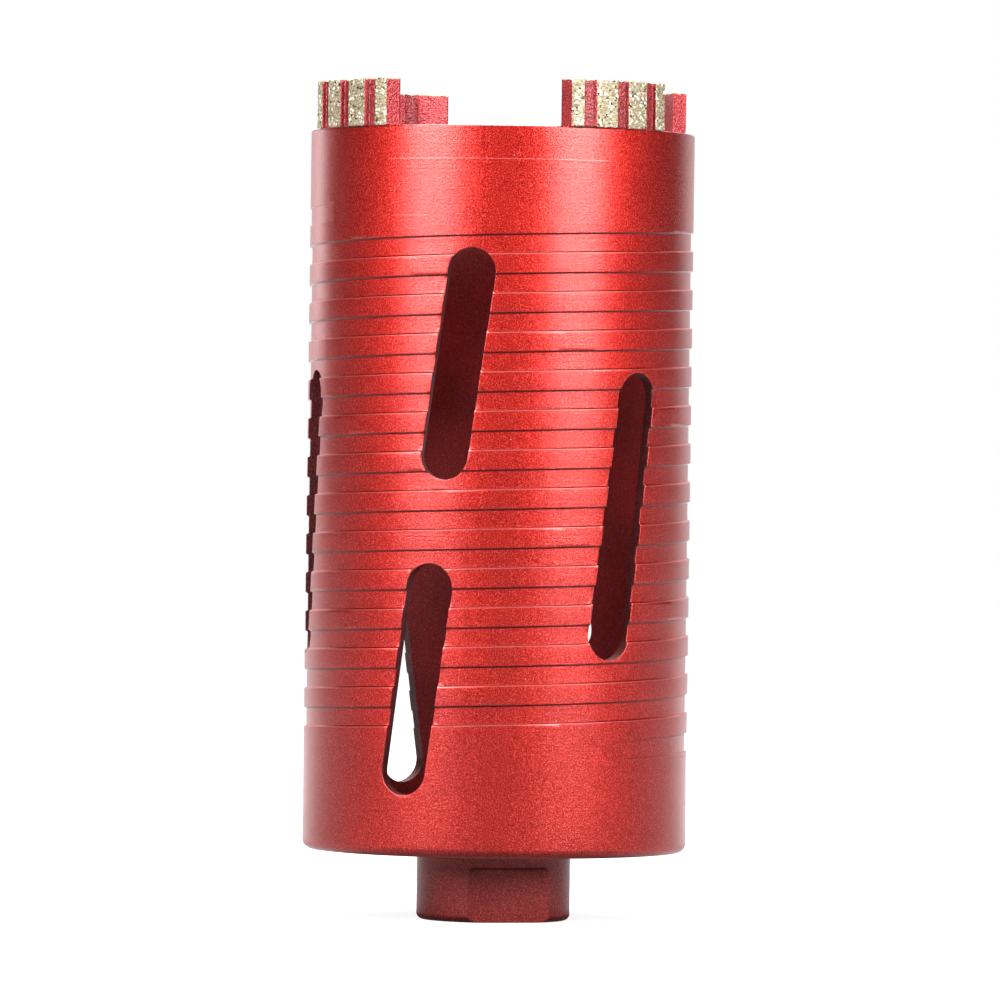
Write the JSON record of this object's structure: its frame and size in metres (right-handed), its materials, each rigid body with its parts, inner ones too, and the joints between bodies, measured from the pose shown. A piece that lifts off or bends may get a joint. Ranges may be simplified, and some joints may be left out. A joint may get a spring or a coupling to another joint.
{
  "type": "diamond core bit",
  "caption": "Slotted steel core bit barrel with a spiral groove, fluted diamond segments on its rim and a threaded hub with wrench flats.",
  "frame": {"origin": "centre of the hub's lower face, which the bit stands on", "axes": "+Z along the axis of rotation, from the threaded hub to the diamond segments"},
  "size_m": [0.08, 0.08, 0.1736],
  "materials": {
    "coated_barrel": "satin metallic red coat over fine turning lines",
    "coated_hub": "satin metallic red coat",
    "diamond_segment": "sintered metal with diamond grit, red coat in its flutes and on its ends"
  },
  "bodies": {
    "root": {"barrel": "coated_barrel", "end_cap": "coated_hub", "segment_1": "diamond_segment", "segment_2": "diamond_segment", "segment_3": "diamond_segment", "segment_4": "diamond_segment"}
  },
  "joints": []
}
